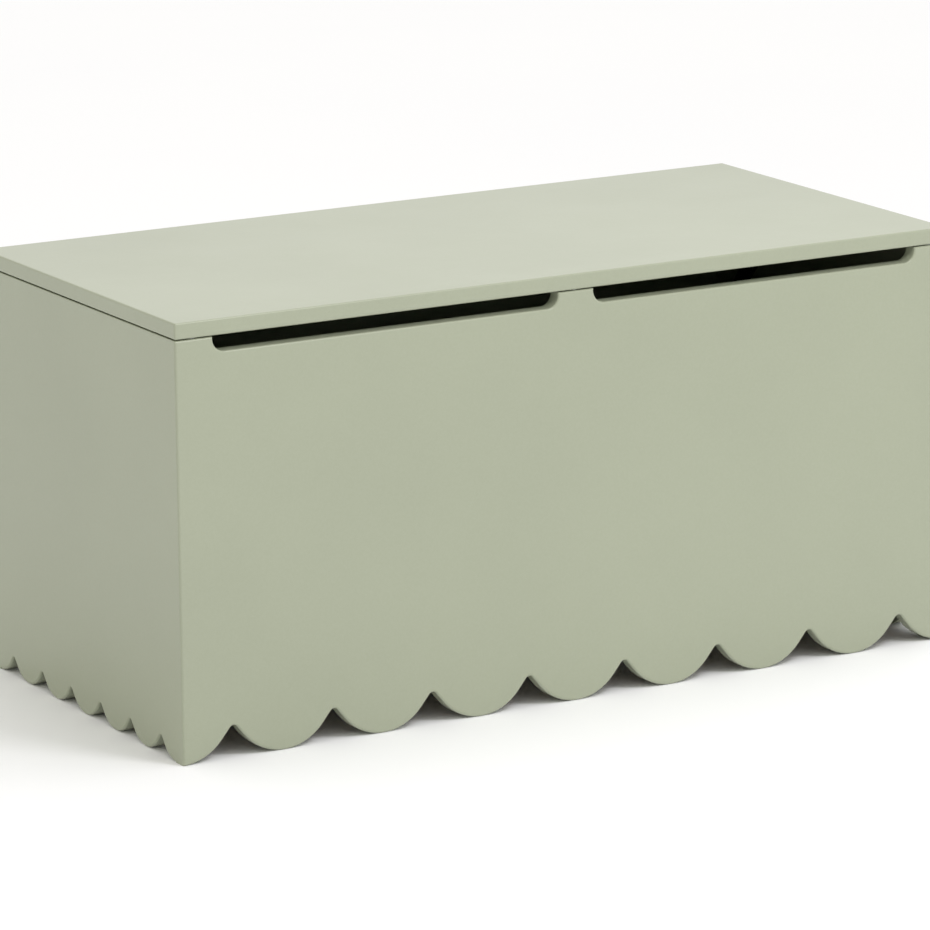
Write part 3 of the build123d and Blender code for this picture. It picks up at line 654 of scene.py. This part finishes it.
class TOYBOX_OT_screws(bpy.types.Operator):
    """Set every wood screw in its hole"""
    bl_idname = "toybox.screws"
    bl_label = "Set the screws"

    def execute(self, context):
        kit = context.scene.toybox_hardware
        rng = np.random.default_rng(kit.seed)
        steel = metal("screw_steel", (0.36, 0.36, 0.355), 0.27, (0.47, 0.465, 0.44), grain=1300.0)
        tree = screw_tree()
        for name in sorted(n for n in SLOTS if n.endswith("_screws")):
            places = screw_places(name)
            head, length = places[0][2:]
            values = {
                "Head Radius": head, "Shank Radius": head * SHANK_SHARE,
                "Length": length - SHORTER, "Recess Width": kit.recess_width,
                "Recess Reach": head * REACH_SHARE, "Thread Pitch": kit.thread_pitch,
            }
            spots = place_mesh(name + "_spots", places, rng)
            piece = grow(name + "_set", spots, tree, values, steel)
            smooth(piece, HEAD_CREASE)
            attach(piece, BODY_OF[name])
            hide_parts(name)
        return {"FINISHED"}


class TOYBOX_OT_pads(bpy.types.Operator):
    """Stick the bumper pads under the lid"""
    bl_idname = "toybox.pads"
    bl_label = "Set the bumper pads"

    def execute(self, context):
        kit = context.scene.toybox_hardware
        places = []
        for points in loose_groups("lid_bumpers"):
            low, high = points.min(0), points.max(0)
            top = Vector(((low[0] + high[0]) / 2, (low[1] + high[1]) / 2, high[2]))
            radius, thickness = float(high[0] - low[0]) / 2, float(high[2] - low[2])
            places.append((top, Vector((0, 0, -1)), radius, thickness))
        radius, thickness = places[0][2:]
        values = {"Radius": radius, "Thickness": thickness, "Edge": kit.pad_edge}
        rng = np.random.default_rng(kit.seed)
        rubber = clear_rubber("clear_pad", (0.62, 0.64, 0.62))
        spots = place_mesh("pad_spots", places, rng)
        piece = grow("bumper_pads", spots, pad_tree(), values, rubber)
        smooth(piece, PAD_CREASE)
        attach(piece, BODY_OF["lid_bumpers"])
        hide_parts("lid_bumpers")
        return {"FINISHED"}


class TOYBOX_OT_stage(bpy.types.Operator):
    """Set the floor, the soft light and the camera"""
    bl_idname = "toybox.stage"
    bl_label = "Set the stage"

    def execute(self, context):
        look = context.scene.toybox_stage
        context.scene.view_settings.view_transform = "Standard"
        self.floor(context, look)
        self.lights(context, look)
        self.camera(context, look)
        return {"FINISHED"}

    def floor(self, context, look):
        """A wide flat floor, pale and nearly even."""
        mesh = bpy.data.meshes.new("studio_floor")
        corners = ((-1, -1), (1, -1), (1, 1), (-1, 1))
        edge = [(x * FLOOR_REACH, y * FLOOR_REACH, 0) for x, y in corners]
        mesh.from_pydata(edge, [], [(0, 1, 2, 3)])
        piece = bpy.data.objects.new("studio_floor", mesh)
        context.scene.collection.objects.link(piece)
        mat, tree, shader = new_material("pale_floor")
        where = coordinates(tree)
        paler = tuple(min(1.0, c * 1.01) for c in look.floor)
        patches = noise(tree, where, 1.5, detail=2.0)
        tone = ramp(tree, patches, [(0.3, tuple(look.floor)), (0.7, paler)])
        tree.links.new(tone, shader.inputs["Base Color"])
        shader.inputs["Roughness"].default_value = 0.9
        shader.inputs["Specular IOR Level"].default_value = 0.1
        mesh.materials.append(mat)

    def lights(self, context, look):
        """A dome brighter on the right and white at the horizon, and a soft key light."""
        world = bpy.data.worlds.new("soft_dome")
        world.use_nodes = True
        tree = world.node_tree
        way = tree.nodes.new("ShaderNodeTexCoord")
        split = tree.nodes.new("ShaderNodeSeparateXYZ")
        tree.links.new(way.outputs["Generated"], split.inputs["Vector"])
        across = tree.nodes.new("ShaderNodeMapRange")
        across.inputs["From Min"].default_value = -1.0
        tree.links.new(split.outputs["X"], across.inputs["Value"])
        left, right = tuple(look.dome_left), tuple(look.dome_right)
        tone = blend_colours(tree, across.outputs["Result"], left, right)
        above = tree.nodes.new("ShaderNodeMapRange")
        above.inputs["From Min"].default_value = HORIZON_FADE[0]
        above.inputs["From Max"].default_value = HORIZON_FADE[1]
        tree.links.new(split.outputs["Z"], above.inputs["Value"])
        tone = blend_colours(tree, above.outputs["Result"], tuple(look.horizon), tone)
        back = tree.nodes["Background"]
        tree.links.new(tone, back.inputs["Color"])
        context.scene.world = world
        data = bpy.data.lights.new("key_softbox", "AREA")
        data.size = KEY_SIZE
        data.energy = look.key
        lamp = bpy.data.objects.new("key_softbox", data)
        lamp.location = KEY_PLACE
        beam = Vector(KEY_TARGET) - lamp.location
        lamp.rotation_euler = beam.to_track_quat("-Z", "Y").to_euler()
        context.scene.collection.objects.link(lamp)

    def camera(self, context, look):
        """A long lens from the front left, a little above the lid."""
        az, el, roll = look.azimuth, look.elevation, look.roll
        ahead = Vector((math.sin(az) * math.cos(el), math.cos(az) * math.cos(el), -math.sin(el)))
        level = Vector((math.cos(az), -math.sin(az), 0.0))
        upward = level.cross(ahead)
        right = math.cos(roll) * level + math.sin(roll) * upward
        up = math.cos(roll) * upward - math.sin(roll) * level
        data = bpy.data.cameras.new("camera")
        data.sensor_width = SENSOR_WIDTH
        data.lens = look.lens
        data.clip_end = FAR_CLIP
        camera = bpy.data.objects.new("camera", data)
        turn = Matrix((right, up, -ahead)).transposed().to_4x4()
        camera.matrix_world = Matrix.Translation(Vector(look.aim) - ahead * look.distance) @ turn
        context.scene.collection.objects.link(camera)
        context.scene.camera = camera


OPERATORS = (
    TOYBOX_OT_boards, TOYBOX_OT_timber, TOYBOX_OT_fittings, TOYBOX_OT_struts,
    TOYBOX_OT_screws, TOYBOX_OT_pads, TOYBOX_OT_stage,
)


class TOYBOX_PT_panel(bpy.types.Panel):
    """Lists the steps that finish the toy box"""
    bl_idname = "TOYBOX_PT_panel"
    bl_label = "Toy Box"
    bl_space_type = "VIEW_3D"
    bl_region_type = "UI"
    bl_category = "Toy Box"

    def draw(self, context):
        scene = context.scene
        column = self.layout.column()
        for group in (scene.toybox_paint, scene.toybox_hardware, scene.toybox_stage):
            for key in type(group).__annotations__:
                column.prop(group, key)
        for operator in OPERATORS:
            column.operator(operator.bl_idname)


def register():
    """Registers the classes and hangs the settings on the scene."""
    for made in (*GROUPS, *OPERATORS, TOYBOX_PT_panel):
        bpy.utils.register_class(made)
    bpy.types.Scene.toybox_paint = bpy.props.PointerProperty(type=ToyBoxPaint)
    bpy.types.Scene.toybox_hardware = bpy.props.PointerProperty(type=ToyBoxHardware)
    bpy.types.Scene.toybox_stage = bpy.props.PointerProperty(type=ToyBoxStage)


def unregister():
    """Takes away what register added."""
    for name in ("toybox_paint", "toybox_hardware", "toybox_stage"):
        delattr(bpy.types.Scene, name)
    for made in (TOYBOX_PT_panel, *reversed(OPERATORS), *reversed(GROUPS)):
        bpy.utils.unregister_class(made)


def main():
    """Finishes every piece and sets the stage."""
    register()
    for operator in OPERATORS:
        group, name = operator.bl_idname.split(".")
        getattr(getattr(bpy.ops, group), name)()


if __name__ == "__main__":
    main()
